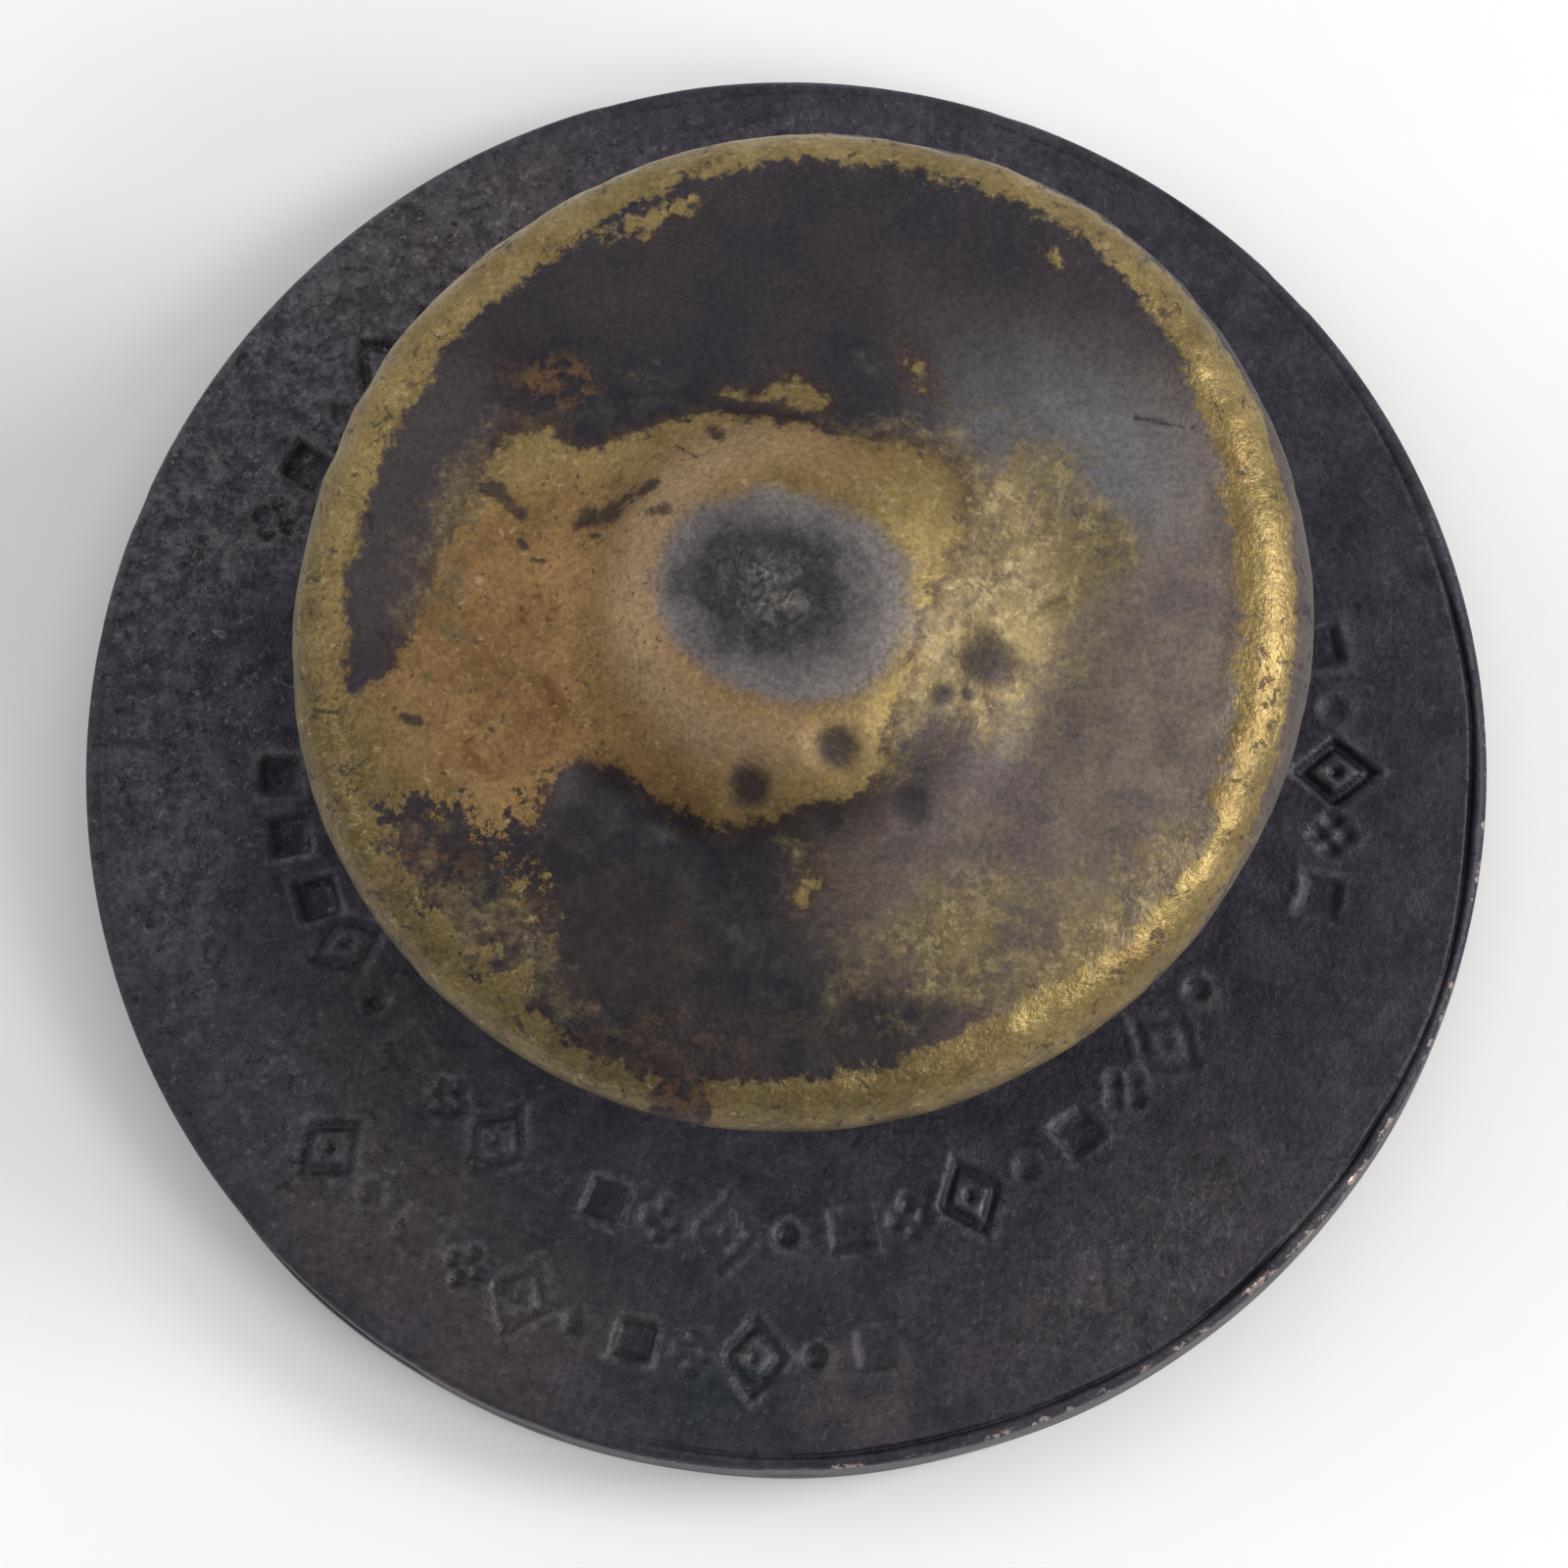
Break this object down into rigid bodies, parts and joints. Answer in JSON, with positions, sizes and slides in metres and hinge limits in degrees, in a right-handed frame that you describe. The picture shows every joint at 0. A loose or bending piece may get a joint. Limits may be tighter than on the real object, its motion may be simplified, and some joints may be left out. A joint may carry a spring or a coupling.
{
  "type": "button badge",
  "caption": "Round screw-back lapel button: a struck bronze badge with an enamelled front and a soldered threaded post, and a hollow brass back that screws onto it.",
  "frame": {"origin": "centre of the badge's front rim, which lies face down; also the bottom centre of the object's bounding box", "axes": "+Z is the thickness direction, from the enamelled front to the screw back; +Y is towards the side where the post stands off centre; +X completes the frame"},
  "size_m": [0.019, 0.019, 0.0093],
  "materials": {
    "dark_bronze": "satin, dark oxidised bronze with stamped detail",
    "worn_brass": "satin, rubbed bright on the rim with dark purple-brown tarnish",
    "dull_brass": "dull, tarnished",
    "grey_solder": "rough, dull grey",
    "blue_enamel": "gloss, fired enamel",
    "cream_enamel": "gloss, fired enamel",
    "red_enamel": "gloss, fired enamel"
  },
  "bodies": {
    "badge": {"badge_disc": "dark_bronze", "enamel_ring": "blue_enamel", "enamel_centre": "cream_enamel", "enamel_sector_1": "red_enamel", "enamel_sector_2": "cream_enamel", "enamel_sector_3": "red_enamel", "enamel_sector_4": "cream_enamel", "enamel_sector_5": "red_enamel", "enamel_sector_6": "cream_enamel", "threaded_post": "dull_brass", "foot_solder": "grey_solder"},
    "travel": {"hub_solder": "grey_solder"},
    "screw_back": {"threaded_hub": "dull_brass", "back_plate": "dull_brass", "back_cap": "worn_brass"}
  },
  "joints": [
    {"name": "back_travel", "type": "slide", "parent": "badge", "child": "travel", "axis": [0, 0, 1], "range_m": [-0.00126, 0.00126]},
    {"name": "back_turn", "type": "hinge", "parent": "travel", "child": "screw_back", "pos_m": [0.00045, 0.00095, 0.007], "axis": [0, 0, 1], "range_deg": [-1008.1, 1008.1]}
  ],
  "couplings": [
    {"joint": "back_turn", "follows": "back_travel", "rad_per_m": 13963}
  ]
}
